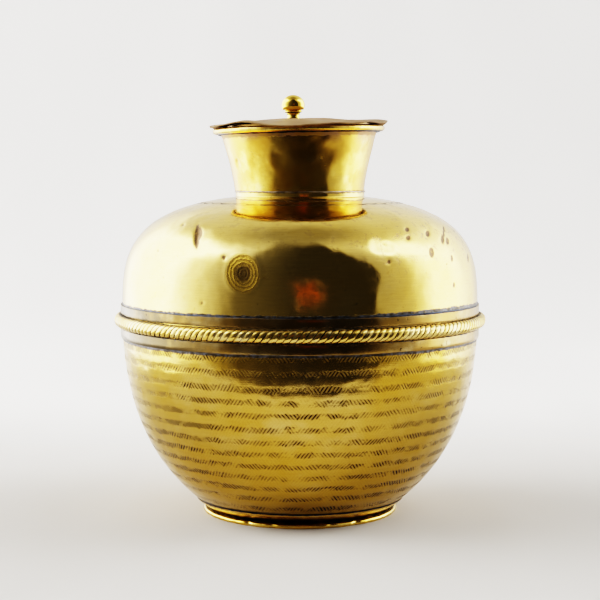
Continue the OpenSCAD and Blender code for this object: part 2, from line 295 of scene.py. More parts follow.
potShape = {"sheet": 0.0015, "rimRise": 0.004, "bowlFull": 2.2, "bowlTurn": 2.1, "footRadius": 0.0885,
    "seat": 0.009, "footSheet": 0.0012, "neckRadius": 0.062, "shoulderTop": 0.303, "shoulderFull": 3.6,
    "shoulderTurn": 2.65, "lipHeight": 0.3665, "lipRadius": 0.0029, "lipRing": 0.0795,
    "mouthRadius": 0.0755, "flare": 1.35, "lean": -1.25, "fillet": 0.0012}
sheet = potShape["sheet"]
leanSlope = 0.0218  # of the leaning mouth, up toward the right
bellyHeight = rimHeight - potShape["rimRise"]
lipHeight, lipRadius, lipRing = (potShape[k] for k in ("lipHeight", "lipRadius", "lipRing"))

bowlDrop = ((bellyHeight - footTop) / (1 - ((footFlange - potShape["footSheet"])
    / bellyRadius) ** potShape["bowlTurn"]) ** (1 / potShape["bowlFull"]))
shoulderRise = ((potShape["shoulderTop"] - bellyHeight) / (1
    - (potShape["neckRadius"] / bellyRadius) ** potShape["shoulderTurn"]) ** (1
    / potShape["shoulderFull"]))


def bowlRadius(z):
    return bellyRadius * (1 - (max(0, bellyHeight - z) / bowlDrop) ** potShape["bowlFull"]) ** (1
        / potShape["bowlTurn"])


def shoulderRadius(z):
    return bellyRadius * max(0, 1 - (max(0, z - bellyHeight)
        / shoulderRise) ** potShape["shoulderFull"]) ** (1 / potShape["shoulderTurn"])


def shoulderHeight(r):
    return bellyHeight + shoulderRise * (1 - (r / bellyRadius) ** potShape["shoulderTurn"]) ** (1
        / potShape["shoulderFull"])


def neckRadiusAt(z):
    share = max(0, z - neckFootHeight) / (lipHeight - neckFootHeight)
    return potShape["neckRadius"] + (potShape["mouthRadius"]
        - potShape["neckRadius"]) * share ** potShape["flare"]


def offsetPath(path, distance):
    moved = []
    for i, (r, z) in enumerate(path):
        before, after = path[max(0, i - 1)], path[min(len(path) - 1, i + 1)]
        dr, dz = after[0] - before[0], after[1] - before[1]
        length = math.hypot(dr, dz)
        moved.append((r - distance * dz / length, z + distance * dr / length))
    return moved


# Making helpers

def turnPiece(name, outline, steps, closed=True, smooth=40):
    deselectAll()
    bpy.ops.mesh.primitive_plane_add(size=0.001, location=(0, 0, 0))
    piece = bpy.context.object
    piece.name = piece.data.name = name
    bpy.ops.object.mode_set(mode="EDIT")
    bpy.ops.mesh.select_mode(type="VERT")
    bpy.ops.mesh.select_all(action="SELECT")
    bpy.ops.mesh.merge(type="CENTER")
    bpy.ops.transform.translate(value=(outline[0][0], 0, outline[0][1]))
    corners = outline + outline[:1] if closed else outline
    for (r0, z0), (r1, z1) in zip(corners, corners[1:]):
        bpy.ops.mesh.extrude_region_move(TRANSFORM_OT_translate={"value": (r1 - r0, 0, z1 - z0)})
    bpy.ops.mesh.select_all(action="SELECT")
    bpy.ops.mesh.remove_doubles(threshold=1e-6)
    bpy.ops.object.mode_set(mode="OBJECT")
    applyModifier(piece, "SCREW", steps=steps, render_steps=steps, use_merge_vertices=True,
        merge_threshold=1e-6)
    bpy.ops.object.mode_set(mode="EDIT")
    finishEdit()
    bpy.ops.object.shade_smooth_by_angle(angle=math.radians(smooth))
    return piece


def editAll():
    bpy.ops.object.mode_set(mode="EDIT")
    bpy.ops.mesh.select_all(action="SELECT")


def finishEdit():
    bpy.ops.mesh.select_all(action="SELECT")
    bpy.ops.mesh.remove_doubles(threshold=2e-6)
    bpy.ops.mesh.normals_make_consistent(inside=False)
    bpy.ops.object.mode_set(mode="OBJECT")


def makeActive(piece):
    deselectAll()
    piece.select_set(True)
    bpy.context.view_layer.objects.active = piece


def applyModifier(piece, kind, **settings):
    makeActive(piece)
    modifier = piece.modifiers.new(kind.title(), kind)
    for name, value in settings.items():
        setattr(modifier, name, value)
    bpy.ops.object.modifier_apply(modifier=modifier.name)


def pointsOf(piece):
    flat = np.empty(len(piece.data.vertices) * 3)
    piece.data.vertices.foreach_get("co", flat)
    return flat.reshape(-1, 3)


def aroundOf(points):
    return np.degrees(np.arctan2(points[:, 0], -points[:, 1]))


def reachOf(points):
    return np.hypot(points[:, 0], points[:, 1])


def spotAt(azimuth, reach, z):
    return reach * math.sin(math.radians(azimuth)), -reach * math.cos(math.radians(azimuth)), z


def hump(offset, width):
    return np.exp(-(offset / width) ** 2)


def angleGap(first, second):
    return (first - second + 180) % 360 - 180


def ripple(piece, name, size, strength, direction="NORMAL"):
    cloud = bpy.data.textures.new(name, "CLOUDS")
    cloud.noise_scale = size
    cloud.noise_depth = 2
    applyModifier(piece, "DISPLACE", texture=cloud, texture_coords="LOCAL", strength=strength,
        mid_level=0.5, direction=direction)


def press(piece, weights, strength):
    group = piece.vertex_groups.new(name="pressed")
    for i in np.nonzero(weights > 0.004)[0]:
        group.add([int(i)], float(min(1, weights[i])), "REPLACE")
    applyModifier(piece, "DISPLACE", vertex_group="pressed", strength=strength, mid_level=0.0)
    piece.vertex_groups.remove(piece.vertex_groups["pressed"])


def pushPoint(piece, point, move, reach, grab=0.003, falloff="SMOOTH"):
    makeActive(piece)
    near = np.linalg.norm(pointsOf(piece) - np.array(point), axis=1)
    chosen = near < max(grab, near.min() + 1e-5)
    piece.data.vertices.foreach_set("select", chosen)
    piece.data.edges.foreach_set("select", np.zeros(len(piece.data.edges), dtype=bool))
    piece.data.polygons.foreach_set("select", np.zeros(len(piece.data.polygons), dtype=bool))
    bpy.ops.object.mode_set(mode="EDIT")
    bpy.ops.mesh.select_mode(type="VERT")
    bpy.ops.transform.translate(value=move, use_proportional_edit=True, proportional_edit_falloff=falloff,
        proportional_size=reach)
    bpy.ops.object.mode_set(mode="OBJECT")


def wrapMap(piece, name, across, along=None):
    # Runs once round the pot without a seam in any face; across gives the second coordinate
    mesh = piece.data
    points = pointsOf(piece)
    corner = np.empty(len(mesh.loops), dtype=np.int32)
    mesh.loops.foreach_get("vertex_index", corner)
    starts = np.empty(len(mesh.polygons), dtype=np.int32)
    totals = np.empty(len(mesh.polygons), dtype=np.int32)
    mesh.polygons.foreach_get("loop_start", starts)
    mesh.polygons.foreach_get("loop_total", totals)
    turn = (aroundOf(points) / 360)[corner]
    first = np.repeat(turn[starts], totals)
    turn = turn - np.round(turn - first)
    rows = across(points)[corner]
    if along:
        middle = np.repeat(np.add.reduceat(rows, starts) / totals, totals)
        turn = turn * along(middle)
    layer = mesh.uv_layers.new(name=name)
    layer.data.foreach_set("uv", np.column_stack((turn, rows)).ravel())


def setValue(piece, name, values):
    layer = piece.data.attributes.new(name, "FLOAT", "POINT")
    layer.data.foreach_set("value", np.clip(values, 0, 1).astype(np.float32))


def leanWithMouth(piece):
    makeActive(piece)
    editAll()
    bpy.ops.transform.translate(value=(0, 0, -neckFootHeight))
    bpy.ops.object.mode_set(mode="OBJECT")
    piece.rotation_euler = (0, math.radians(potShape["lean"]), 0)
    piece.location = (0, 0, neckFootHeight)
    bpy.ops.object.transform_apply(location=True, rotation=True, scale=True)


def settle(piece, material, body, slotName, *nodeNames):
    piece.data.materials.clear()
    piece.data.materials.append(material)
    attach(piece, body)
    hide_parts(*nodeNames)


# Brass finishes

# The amber tone is painted shade, laid low on the hammered bowl
brassTones = {"bright": (0.83, 0.57, 0.17), "deep": (0.68, 0.40, 0.07), "pale": (0.88, 0.74, 0.44),
    "shadedAmber": (0.44, 0.26, 0.03), "dirt": (0.018, 0.020, 0.026)}
# A plan may set its own tones, and any of these
brassDefaults = {"cloud": 14, "haze": 0.35, "specks": 0.6, "speckSize": 330, "metal": 1.0,
    "specular": 0.5, "grime": 0, "grimeSize": 170, "dirtLight": (0.10, 0.115, 0.15), "bump": 0.35,
    "beat": 0.25, "beatSize": 55, "extra": None}
brassGrain = {"streak": (9, 9, 160), "scratch": 0.25, "speckTone": (0.09, 0.045, 0.015),
    "fineDepth": 0.00015, "beatDepth": 0.0008}


def brassFinish(name, plan):
    # gloss and rough are the least and the most roughness; extra adds a piece's own marks
    plan = {**brassTones, **brassDefaults, **plan}
    material = bpy.data.materials.new(name)
    material.use_nodes = True
    tree = material.node_tree
    shader = tree.nodes["Principled BSDF"]
    place = addNode(tree, "TexCoord").outputs["Object"]
    clouds = noise(place, plan["cloud"], 4.0, 0.6, 0.3)
    colour = mixColour(levels(clouds, 0.35, 0.68), plan["deep"], plan["bright"])
    haze = levels(noise(stretched(place, (1, 1, 1.4)), plan["cloud"] * 2.3, 5.0), 0.52, 0.8)
    colour = tinge(colour, haze, plan["haze"], plan["pale"])
    streaks = noise(stretched(place, brassGrain["streak"]), 6.0, 4.0, 0.6)
    rubbed = levels(streaks, 0.3, 0.75, 0.92, 1.05)
    colour = mixColour(1.0, colour, rubbed, "MULTIPLY")
    specks = noise(place, plan["speckSize"], 2.0, 0.5)
    spots = times(levels(specks, 0.70, 0.76), patches(place, (22.0, 3.0), 0.45, 0.65))
    spots = times(spots, plan["specks"])
    colour = mixColour(spots, colour, brassGrain["speckTone"])
    rough = patches(place, (30.0, 4.0, 0.65), 0.3, 0.75, plan["gloss"], plan["rough"])
    height = timesPlus(spots, -0.8, times(streaks, brassGrain["scratch"]))
    metal = plan["metal"]
    if plan["grime"]:
        edge = vertexValue(tree, "grime")
        broken = noise(stretched(place, (1, 1, 1.6)), plan["grimeSize"], 4.0, 0.62)
        dirt = levels(calc("ADD", edge, calc("SUBTRACT", broken, 0.5)), 0.42, 0.62)
        dirt = times(dirt, plan["grime"])
        dirtTone = mixColour(patches(place, (260.0,), 0.4, 0.65), plan["dirt"], plan["dirtLight"])
        colour = mixColour(dirt, colour, dirtTone)
        rough = timesPlus(dirt, 0.28, rough)
        metal = timesPlus(dirt, -0.35, metal)
        height = timesPlus(dirt, -0.5, height)
    if plan["extra"]:
        colour, rough, height = plan["extra"](tree, place, colour, rough, height)
    tree.links.new(colour, shader.inputs["Base Color"])
    tree.links.new(rough, shader.inputs["Roughness"])
    if isinstance(metal, float):
        shader.inputs["Metallic"].default_value = metal
    else:
        tree.links.new(metal, shader.inputs["Metallic"])
    shader.inputs["Specular IOR Level"].default_value = plan["specular"]
    fine = addNode(tree, "Bump", {"Height": height, "Strength": plan["bump"],
        "Distance": brassGrain["fineDepth"]}).outputs[0]
    beaten = noise(place, plan["beatSize"], 2.0, 0.4)
    wide = addNode(tree, "Bump", {"Height": beaten, "Strength": plan["beat"], "Normal": fine,
        "Distance": brassGrain["beatDepth"]}).outputs[0]
    tree.links.new(wide, shader.inputs["Normal"])
    return material


# Lower bowl, raised from one sheet and struck in rows

bowlPlan = {"steps": 600, "sideRings": 112, "innerRings": 26,
    "rowHeights": (
        0.1650, 0.1527, 0.1386, 0.1269, 0.1151, 0.1022, 0.0901, 0.0786, 0.0667, 0.0555, 0.0440, 0.0330,
        0.0215),
    "rowDepth": 0.00012, "rowWidth": 0.22, "strokePitch": 0.0033,
    "drift": (0.045, 0.0008), "blows": (0.011, 0.00016)}


def rowPlace(z):
    # 1 at the top row, 2 at the next and so on down the bowl
    heights = np.array(bowlPlan["rowHeights"])
    heights = np.concatenate(([2 * heights[0] - heights[1]], heights, [2 * heights[-1] - heights[-2]]))
    return np.interp(-np.asarray(z), -heights, np.arange(len(heights)))


def strokeCount(row):
    heights = np.array(bowlPlan["rowHeights"])
    number = np.clip(np.round(row).astype(int), 1, len(heights)) - 1
    radii = np.array([bowlRadius(z) for z in heights])[number]
    return np.round(2 * math.pi * radii / bowlPlan["strokePitch"])


def struckRows(tree, place, colour, rough, height):
    # Short crossed strokes of the hammer in every row, thin in some places and dense in others
    layout = axesOf(addNode(tree, "UVMap", uv_map="strokes").outputs[0])
    drift = timesPlus(noise(place, 22.0, 2.0), 0.30, -0.15)
    row = calc("ADD", layout[1], drift)
    offRow = calc("SUBTRACT", row, calc("ROUND", row))
    ragged = timesPlus(noise(place, 210.0, 2.0), 0.36, -0.18)
    band = levels(calc("ADD", calc("ABSOLUTE", offRow), ragged), 0.14, 0.26, 1.0, 0.0)
    jitter = noise(place, 60.0, 2.0)

    def hatch(slant):
        phase = calc("ADD", timesPlus(offRow, slant, layout[0]), jitter)
        return levels(calc("SINE", times(phase, 2 * math.pi)), -0.10, 0.25)

    side = patches(place, (50.0, 1.0), 0.46, 0.54)
    strokes = addNode(tree, "Mix", {0: side, 2: hatch(2.8), 3: hatch(-2.8)}).outputs[0]
    patchy = levels(noise(stretched(place, (1, 1, 1.6)), 75.0, 3.0, 0.6), 0.36, 0.56)
    wide = patches(place, (13.0, 2.0), 0.30, 0.62, 0.45, 1.0)
    cover = times(times(band, patchy), wide)
    mark = times(strokes, cover)
    # Painted shade: towards the foot the bowl is painted darker and more orange, in patches, for the
    # shadowed floor that it reflects there
    low = axesOf(place)[2]
    warm = times(levels(low, 0.105, 0.035), patches(place, (8.0, 3.0), 0.30, 0.55))
    colour = tinge(colour, warm, 0.85, brassTones["shadedAmber"])
    colour = tinge(colour, strokes, 0.10, (0.20, 0.11, 0.02))
    colour = tinge(colour, cover, 0.42, (0.15, 0.10, 0.03))
    colour = tinge(colour, mark, 0.97, (0.02, 0.013, 0.006))
    rough = timesPlus(cover, 0.18, rough)
    return colour, rough, timesPlus(mark, -1.2, height)


def buildBowl(plan):
    top, seat = rimHeight, potShape["seat"]
    side = [(bowlRadius(z), z) for z in np.linspace(seat, bellyHeight, plan["sideRings"])]
    base = [(potShape["footRadius"] * i / 8, baseHeight + 0.003 * (1 - (i / 8) ** 2)) for i in range(9)]
    inner = offsetPath([(bowlRadius(z), z) for z in np.linspace(seat, bellyHeight, plan["innerRings"])],
        sheet)
    outline = (base + side + [(bellyRadius, top), (bellyRadius - sheet, top)] + inner[::-1]
        + [(potShape["footRadius"] - sheet, baseHeight + sheet), (0.04, baseHeight + 0.002 + sheet),
        (0, baseHeight + 0.003 + sheet)])
    piece = turnPiece("hammeredBowl", outline, plan["steps"], closed=False)
    points = pointsOf(piece)
    reach = reachOf(points)
    outside = reach > np.array([bowlRadius(z) for z in points[:, 2]]) - 0.0004
    place = rowPlace(points[:, 2])
    off = np.abs(place - np.round(place))
    shownSide = outside & (points[:, 2] > footTop) & (points[:, 2] < lowerStripLow)
    press(piece, np.where(shownSide, hump(off, plan["rowWidth"]), 0), -plan["rowDepth"])
    ripple(piece, "bowlDrift", *plan["drift"])
    ripple(piece, "bowlBlows", *plan["blows"])
    points = pointsOf(piece)
    wrapMap(piece, "strokes", lambda p: rowPlace(p[:, 2]), strokeCount)
    z = points[:, 2]
    edge = hump(z - lowerStripLow + 0.0012, 0.0016) + hump(z - footTop - 0.0005, 0.0025)
    setValue(piece, "grime", edge)
    finish = brassFinish("hammeredBrass", {"bright": (0.62, 0.42, 0.12), "deep": (0.52, 0.32, 0.05),
        "cloud": 11, "haze": 0.25, "gloss": 0.12, "rough": 0.24, "grime": 0.95, "extra": struckRows,
        "bump": 0.7, "beat": 0.5, "beatSize": 70, "specks": 0.5})
    settle(piece, finish, "pot", "hammered_brass", "lower_bowl")


buildBowl(bowlPlan)
print("hammered bowl ready")

# Shoulder, raised smooth and worn by knocks

shoulderPlan = {"steps": 560, "rings": 120, "innerRings": 30, "join": 0.0985,
    "drift": (0.075, 0.0016), "blows": (0.022, 0.00035), "pitDepth": 0.0009,
    "dents": [  # azimuth, height, reach, depth: wide soft dents
        (-36.0, 0.2690, 0.016, 0.0007), (26.0, 0.2623, 0.010, 0.0006),
        (29.2, 0.2600, 0.008, 0.0006), (50.0, 0.2700, 0.030, 0.0012), (-60.0, 0.2350, 0.040, 0.0010),
        (8.0, 0.2300, 0.050, 0.0008), (140.0, 0.2500, 0.030, 0.0014), (-130.0, 0.2300, 0.022, 0.0016),
        (175.0, 0.2600, 0.045, 0.0010)],
    "pits": [  # azimuth, height, half width, half height, depth
        (41.2, 0.2752, 2.2, 1.6, 0.6), (39.0, 0.2682, 2.6, 1.8, 0.5), (51.0, 0.2717, 2.4, 2.2, 0.6),
        (47.0, 0.2555, 2.6, 3.4, 0.8), (57.5, 0.2658, 2.6, 3.0, 0.6), (57.2, 0.2488, 1.6, 2.6, 0.6),
        (55.2, 0.2250, 1.4, 1.8, 0.7), (71.8, 0.2467, 2.4, 3.0, 0.6), (28.2, 0.2486, 1.8, 1.8, 0.5),
        (61.0, 0.2700, 1.6, 2.4, 0.5), (65.0, 0.2740, 1.6, 2.4, 0.5), (53.0, 0.2440, 1.0, 1.0, 0.4),
        (-37.2, 0.2695, 1.7, 6.5, 1.3), (-37.4, 0.2730, 2.3, 3.4, 0.9),
        (-24.0, 0.2525, 1.0, 1.6, 0.7), (-46.0, 0.2330, 0.8, 1.0, 0.5),
        (-53.0, 0.2560, 1.4, 1.2, 0.4), (-49.0, 0.2790, 1.2, 1.0, 0.4), (-30.0, 0.2130, 1.2, 1.2, 0.4),
        (120.0, 0.2640, 2.4, 2.4, 0.7), (-150.0, 0.2750, 2.0, 2.6, 0.7), (160.0, 0.2300, 1.4, 1.8, 0.6)],
    "ring": {"az": -17.2, "z": 0.2395, "outer": 0.0155, "inner": 0.0085, "crest": 0.00022,
        "hollow": 0.0005}}


def offsetFrom(points, azimuth, z):
    # Distances round and up from a spot, in metres
    side = math.radians(azimuth)
    facing = points[:, 1] * -math.cos(side) + points[:, 0] * math.sin(side) > 0
    across = (points[:, 0] - shoulderRadius(z) * math.sin(side)) / math.cos(side)
    return np.where(facing, across, 1), points[:, 2] - z


def wornShoulder(tree, place, colour, rough, height):
    pits = vertexValue(tree, "pits")
    ring = vertexValue(tree, "ring")
    core = levels(timesPlus(noise(place, 240.0, 2.0), 0.5, pits), 0.45, 0.80)
    colour = tinge(colour, core, 0.93, (0.10, 0.06, 0.04))
    rough = timesPlus(core, 0.25, rough)
    # Brushed ring: gold and scratched round and round, with a dull brown middle
    ragged = timesPlus(noise(place, 180.0, 3.0), 0.30, calc("SUBTRACT", ring, 0.15))
    brushed = times(levels(ragged, 0.02, 0.22), patches(place, (70.0, 4.0, 0.7), 0.34, 0.58, 0.6, 1.0))
    colour = mixColour(brushed, colour, (0.80, 0.52, 0.10))
    rough = timesPlus(brushed, 0.17, rough)
    turned = calc("SINE", timesPlus(ring, 34.0, times(noise(place, 300.0, 2.0), 5.0)))
    middle = levels(timesPlus(noise(place, 230.0, 4.0, 0.65), 0.5, ring), 0.72, 0.98)
    worn = times(middle, 0.85)
    colour = mixColour(worn, colour, (0.20, 0.14, 0.06))
    colour = tinge(colour, levels(turned, 0.4, 1.0), times(brushed, 0.8), (0.25, 0.14, 0.04))
    height = timesPlus(times(turned, brushed), 0.9, height)
    flecks = times(patches(place, (120.0, 4.0, 0.7), 0.55, 0.66), vertexValue(tree, "wear"))
    colour = tinge(colour, flecks, 0.7, (0.30, 0.20, 0.13))
    rough = timesPlus(flecks, 0.15, rough)
    height = timesPlus(flecks, -0.8, timesPlus(worn, -1.0, height))
    return colour, rough, height


def buildShoulder(plan):
    join, rim = plan["join"], rimHeight
    topZ = shoulderHeight(join)
    share = np.sin(np.linspace(0, math.pi / 2, plan["rings"]))
    path = [(shoulderRadius(z), z) for z in rim + (topZ - rim) * share]
    share = np.sin(np.linspace(0, math.pi / 2, plan["innerRings"]))
    inner = offsetPath([(shoulderRadius(z), z) for z in rim + (topZ - rim) * share], sheet)
    lap = lowerStripHigh + 0.0005
    outline = ([(bellyRadius - 2 * sheet, lap), (bellyRadius - sheet - 0.00004, lap),
        (bellyRadius - sheet - 0.00004, rim)] + path + inner[::-1])
    piece = turnPiece("raisedShoulder", outline, plan["steps"])
    points = pointsOf(piece)
    reach = reachOf(points)
    outer = np.array([shoulderRadius(min(z, topZ)) for z in points[:, 2]])
    outside = (reach > outer - 0.0006) & (points[:, 2] > rim + 0.0005)
    pits = np.zeros(len(points))
    for azimuth, z, width, tall, depth in plan["pits"]:
        across, up = offsetFrom(points, azimuth, z)
        pits = np.maximum(pits, depth * hump(across, width * 1.25e-3) * hump(up, tall * 1.2e-3))
    pits = np.where(outside, pits, 0)
    across, up = offsetFrom(points, plan["ring"]["az"], plan["ring"]["z"])
    far = np.hypot(across, up * 0.93)
    crest = np.where(outside, hump(far - plan["ring"]["outer"], 0.0022), 0)
    core = np.where(outside, np.clip(1.04 - far / (plan["ring"]["outer"] * 1.06), 0, 1), 0)
    bowlIn = np.where(outside, hump(far, plan["ring"]["inner"]), 0)
    ripple(piece, "shoulderDrift", *plan["drift"])
    ripple(piece, "shoulderBlows", *plan["blows"])
    press(piece, pits, -plan["pitDepth"])
    press(piece, crest, plan["ring"]["crest"])
    press(piece, bowlIn, -plan["ring"]["hollow"])
    for azimuth, z, wide, depth in plan["dents"]:
        slope = (shoulderRadius(z + 0.0005) - shoulderRadius(z - 0.0005)) / 0.001
        push = depth / math.hypot(1, slope)
        pushPoint(piece, spotAt(azimuth, shoulderRadius(z), z), spotAt(azimuth, -push, push * slope),
            wide, grab=0.0016)
    around, z = aroundOf(points), points[:, 2]
    right = hump(angleGap(around, 52), 34)
    wear = right * hump(z - 0.262, 0.022) + 0.25 * hump(z - 0.285, 0.02) + 0.10
    edge = hump(z - upperStripHigh - 0.0004, 0.0008 + 0.0020 * right)
    edge += 0.36 * hump(z - upperStripHigh - 0.003, 0.004)
    edge += 0.8 * hump(reach - join, 0.0012) * (z > 0.28)
    setValue(piece, "pits", pits * 1.9)
    setValue(piece, "ring", core)
    setValue(piece, "wear", wear)
    setValue(piece, "grime", edge)
    finish = brassFinish("shoulderBrass", {"bright": (0.84, 0.61, 0.20), "deep": (0.78, 0.52, 0.12),
        "cloud": 8, "haze": 0.2, "gloss": 0.07, "rough": 0.18, "grime": 0.95, "extra": wornShoulder,
        "bump": 0.3, "beat": 0.18, "beatSize": 30, "specks": 0.5, "speckSize": 260})
    settle(piece, finish, "pot", "shoulder_brass", "shoulder")


buildShoulder(shoulderPlan)
print("shoulder ready")

# Neck plate: the shoulder's flat top with its collar, let in with a saw-toothed brazed seam

platePlan = {"steps": 468, "teeth": 39, "outer": 0.0983, "toothDepth": 0.0050, "seamWidth": 0.0026,
    "rings": 26}


def collarTurn(size):
    top = shoulderHeight(potShape["neckRadius"] + potShape["fillet"])
    centre = (potShape["neckRadius"] + potShape["fillet"], top + potShape["fillet"])
    return [(centre[0] + size * math.cos(math.radians(a)), centre[1] + size * math.sin(math.radians(a)))
        for a in range(255, 179, -15)]


def stainedPlate(tree, place, colour, rough, height):
    blotch = patches(place, (60.0, 4.0, 0.6), 0.55, 0.72)
    colour = tinge(colour, blotch, 0.4, (0.36, 0.23, 0.07))
    return colour, rough, height


def buildPlate(plan, join):
    foot = potShape["neckRadius"] + potShape["fillet"]
    flat = [(r, shoulderHeight(r)) for r in np.linspace(join, foot, plan["rings"])]
    neck = potShape["neckRadius"]
    outer = flat + collarTurn(potShape["fillet"]) + [(neck, neckFootHeight)]
    inner = offsetPath(flat, sheet)[::-1]
    innerTurn = collarTurn(potShape["fillet"] + sheet)[::-1]
    outline = outer + [(neck - sheet, neckFootHeight)] + innerTurn + inner
    piece = turnPiece("neckPlate", outline, plan["steps"])
    ripple(piece, "plateDrift", *shoulderPlan["drift"])
    points = pointsOf(piece)
    reach = reachOf(points)
    setValue(piece, "grime", 0.6 * hump(reach - join, 0.0012)
        + 0.75 * hump(points[:, 2] - neckFootHeight, 0.0012))
    finish = brassFinish("plateBrass", {"bright": (0.84, 0.60, 0.18), "deep": (0.78, 0.51, 0.11),
        "cloud": 9, "haze": 0.35, "gloss": 0.05, "rough": 0.14, "grime": 0.8, "extra": stainedPlate,
        "bump": 0.2, "beat": 0.12, "beatSize": 30})
    settle(piece, finish, "pot", "shoulder_brass", "neck_plate")
    return piece


def buildSeam(plan, backing):
    # A flat ring whose points step in and out, laid on the sheet and thickened
    deselectAll()
    count = plan["teeth"] * 6
    bpy.ops.mesh.primitive_circle_add(vertices=count, radius=plan["outer"],
        location=(0, 0, neckFootHeight + 0.002))
    piece = bpy.context.object
    piece.name = piece.data.name = "dovetailSeam"
    bpy.ops.object.transform_apply(location=True, rotation=True, scale=True)
    editAll()
    share = 1 - plan["seamWidth"] / plan["outer"]
    bpy.ops.mesh.extrude_edges_move()
    bpy.ops.transform.resize(value=(share, share, 1), center_override=(0, 0, 0))
    finishEdit()
    points = pointsOf(piece)
    tooth = (np.degrees(np.arctan2(points[:, 1], points[:, 0])) * plan["teeth"] / 360 + 0.01) % 1
    step = np.where(tooth < 0.8, tooth / 0.8, (1 - tooth) / 0.2)
    drift = 0.25 * np.sin(np.radians(aroundOf(points)) * 7) + 0.2 * np.sin(np.radians(aroundOf(points))
        * 17)
    group = piece.vertex_groups.new(name="teeth")
    for i, weight in enumerate(np.clip(0.5 + 0.8 * (step - 0.5) + drift * 0.6, 0, 1)):
        group.add([i], float(weight), "REPLACE")
    applyModifier(piece, "CAST", vertex_group="teeth", cast_type="CYLINDER", factor=1.0, use_x=True,
        use_y=True, use_z=False, use_radius_as_size=False, size=plan["outer"] - plan["toothDepth"])
    makeActive(piece)
    applyModifier(piece, "SHRINKWRAP", target=backing, wrap_method="PROJECT", use_project_z=True,
        use_negative_direction=True, use_positive_direction=True, offset=0.00008)
    applyModifier(piece, "SOLIDIFY", thickness=0.0005, offset=-1.0)
    finish = brassFinish("brazedSeam", {"bright": (0.16, 0.10, 0.035), "deep": (0.05, 0.032, 0.014),
        "cloud": 90, "haze": 0.2, "gloss": 0.3, "rough": 0.5, "bump": 0.6})
    settle(piece, finish, "pot", "braze", "dovetail_braze")


plate = buildPlate(platePlan, shoulderPlan["join"])
print("neck plate ready")

# Neck, a rolled cone that flares to the lip, and the seams at its two ends

neckPlan = {"steps": 360, "rings": 44, "seamBead": 0.00075, "filletBead": 0.0015, "drift": (0.030, 0.0012),
            "dents": [  # azimuth, height, reach, depth
                (-59.3, 0.3354, 0.006, 0.0007), (-14.0, 0.3400, 0.012, 0.0006),
                (21.0, 0.3420, 0.014, 0.0007), (12.0, 0.3520, 0.012, 0.0005),
                (100.0, 0.3350, 0.020, 0.0012), (-150.0, 0.345, 0.02, 0.001)]}


def tarnishedNeck(tree, place, colour, rough, height):
    # Brown heat stain in blotches, most of it under the lip
    up = axesOf(place)[2]
    under = levels(up, 0.335, 0.362)
    blotch = noise(stretched(place, (1, 1, 0.8)), 24.0, 4.0, 0.6)
    stain = levels(timesPlus(under, 0.14, blotch), 0.46, 0.58)
    colour = tinge(colour, stain, 0.72, (0.44, 0.235, 0.035))
    rim = times(levels(up, 0.352, 0.361), patches(place, (42.0, 4.0), 0.46, 0.60))
    colour = tinge(colour, rim, 0.75, (0.30, 0.17, 0.09))
    pale = times(patches(place, (33.0, 3.0), 0.62, 0.76), 0.3)
    colour = mixColour(pale, colour, (0.80, 0.72, 0.40))
    rough = timesPlus(stain, 0.10, rough)
    return colour, rough, height


def buildNeck(plan):
    foot = neckFootHeight
    upTo = lipHeight - lipRadius
    side = [(neckRadiusAt(z), z) for z in np.linspace(foot, upTo, plan["rings"])]
    side.append((lipRing - lipRadius * 0.55, lipHeight - sheet / 2))
    inner = offsetPath(side, sheet)
    outline = [(potShape["neckRadius"], foot - 0.004)] + side + inner[:1:-1] + [(potShape["neckRadius"]
        - sheet, foot), (potShape["neckRadius"] - sheet, foot - 0.004)]
    piece = turnPiece("flaredNeck", outline, plan["steps"])
    ripple(piece, "neckDrift", *plan["drift"])
    for azimuth, z, wide, depth in plan["dents"]:
        pushPoint(piece, spotAt(azimuth, neckRadiusAt(z), z), spotAt(azimuth, -depth, 0), wide,
            grab=0.0012)
    leanWithMouth(piece)
    makeActive(piece)
    editAll()
    bpy.ops.mesh.bisect(plane_co=(0, 0, foot), plane_no=(0, 0, -1), clear_outer=True, use_fill=False)
    bpy.ops.mesh.select_mode(type="VERT")
    bpy.ops.mesh.select_all(action="DESELECT")
    bpy.ops.mesh.select_non_manifold()
    bpy.ops.mesh.bridge_edge_loops()
    finishEdit()
    points = pointsOf(piece)
    z = points[:, 2] - leanSlope * points[:, 0]
    around = aroundOf(points)
    smear = hump(angleGap(around, -62), 14)
    edge = hump(z - upTo + 0.0006, 0.0042) + 0.62 * hump(z - foot, 0.0010)
    edge += 0.75 * smear * hump(z - foot - 0.001, 0.0022)
    setValue(piece, "grime", edge)
    finish = brassFinish("neckBrass", {"bright": (0.85, 0.58, 0.13), "deep": (0.70, 0.42, 0.06),
        "cloud": 16, "haze": 0.15, "gloss": 0.09, "rough": 0.20, "grime": 0.9,
        "dirtLight": (0.06, 0.06, 0.08), "extra": tarnishedNeck, "bump": 0.25, "beat": 0.35,
        "beatSize": 42, "specks": 0.6})
    settle(piece, finish, "pot", "neck_brass", "neck")


def beadRing(name, centre, size, steps, sides):
    outline = [(centre[0] + size * math.cos(2 * math.pi * i / sides),
        centre[1] + size * math.sin(2 * math.pi * i / sides)) for i in range(sides)]
    return turnPiece(name, outline, steps)


def leadFinish(name, dark, light, gloss=0.32, rough=0.55, cloud=120):
    return brassFinish(name, {"bright": light, "deep": dark, "cloud": cloud, "haze": 0.1, "pale": light,
        "gloss": gloss, "rough": rough, "bump": 0.8, "specks": 0.4, "beat": 0.6})


